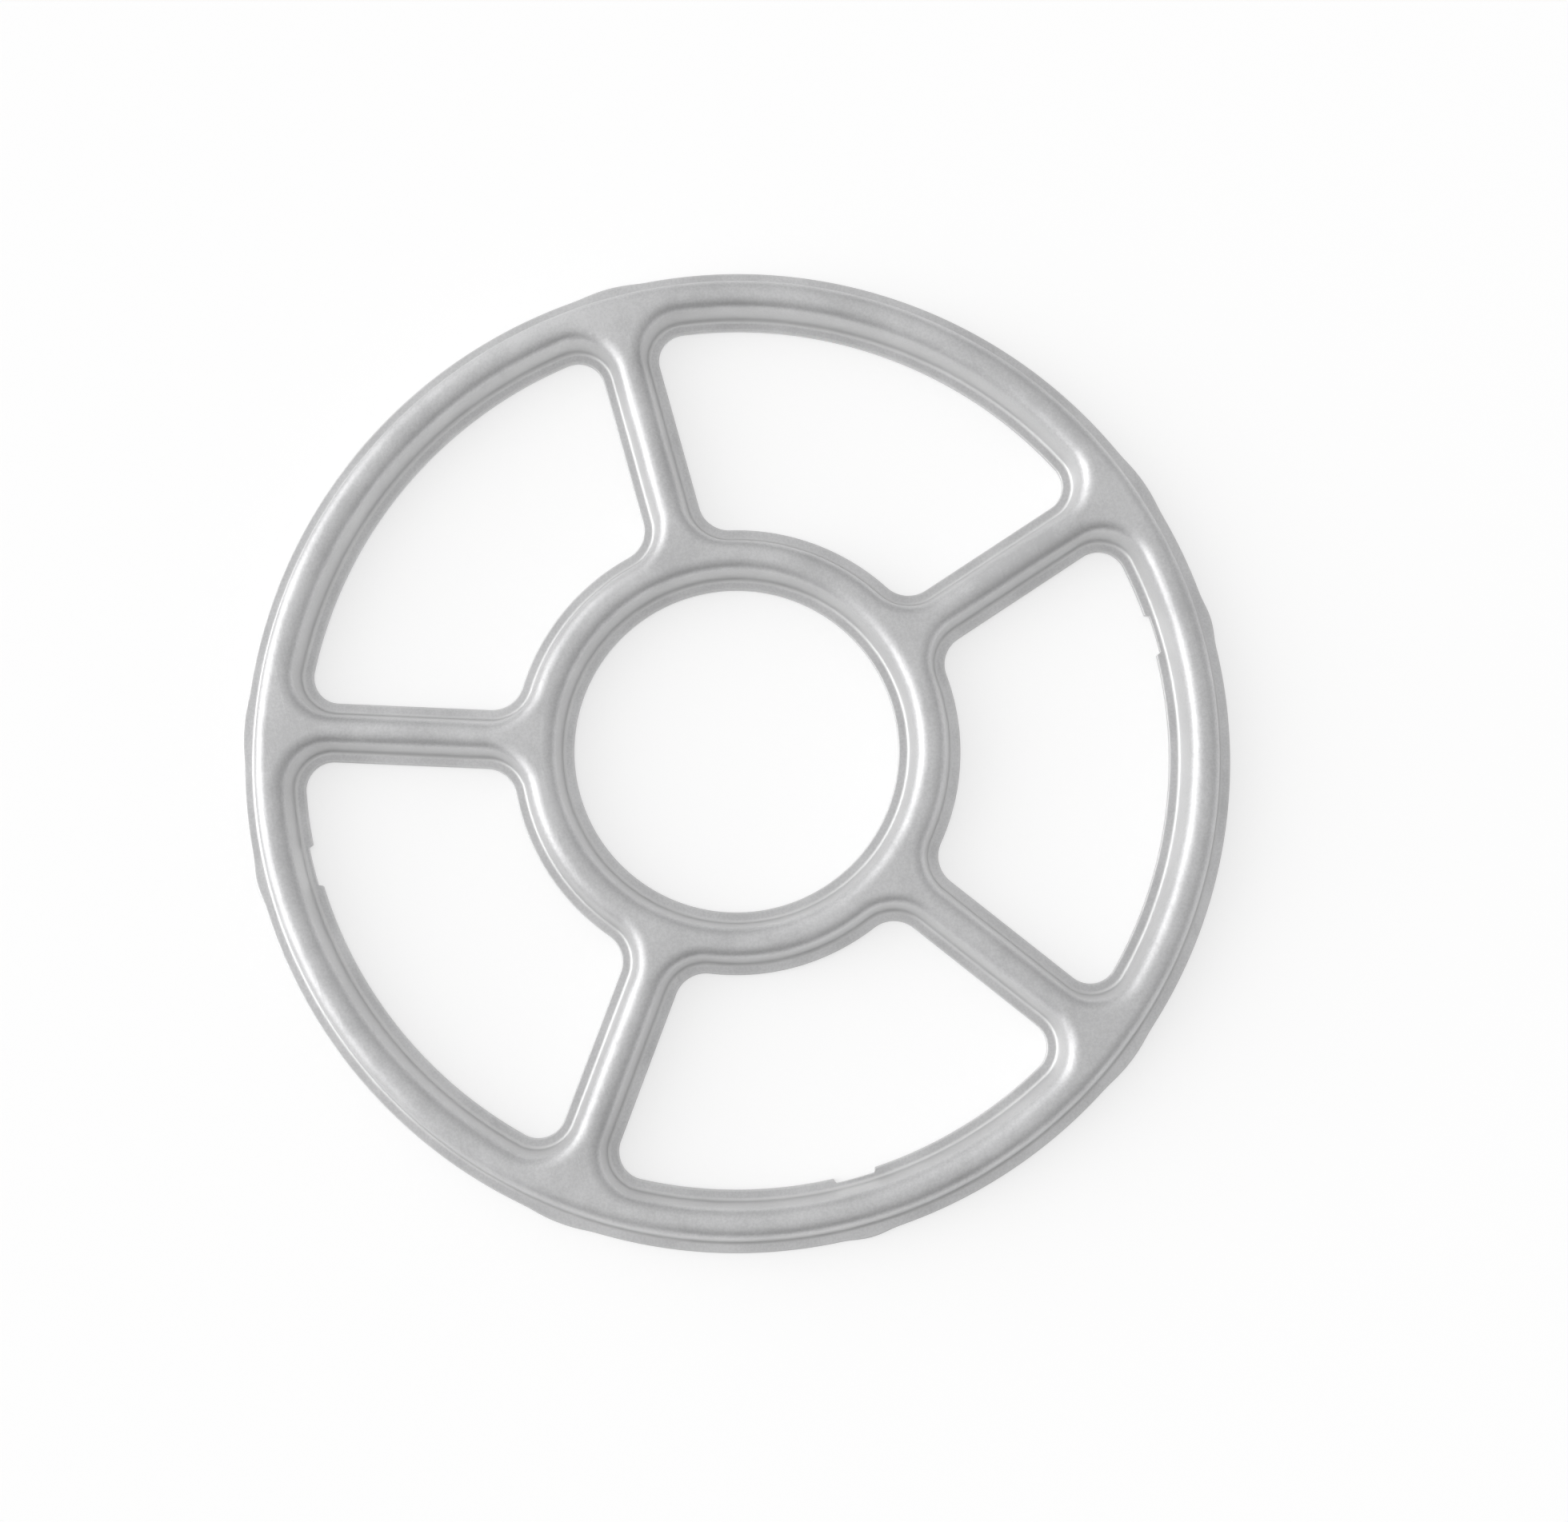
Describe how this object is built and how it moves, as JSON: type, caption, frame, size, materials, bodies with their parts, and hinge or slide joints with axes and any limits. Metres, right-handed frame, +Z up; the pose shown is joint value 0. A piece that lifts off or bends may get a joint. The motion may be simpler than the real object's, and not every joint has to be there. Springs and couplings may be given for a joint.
{
  "type": "stove reducer ring",
  "caption": "Flat steel wheel that lies across a stove's pan support to carry pots too small for it, pressed into raised hollow ribs with a round rim, radial spokes and an open hub.",
  "frame": {"origin": "on the axis of the centre hole, in the plane that the lips stand on", "axes": "+Z up, from the lips to the flat tops of the ribs; one spoke runs along +Y; the four grate seats lie on the X and Y axes"},
  "size_m": [0.1508, 0.1508, 0.006],
  "materials": {
    "body": "satin"
  },
  "bodies": {
    "root": {"reducer_ring": "body"}
  },
  "joints": []
}
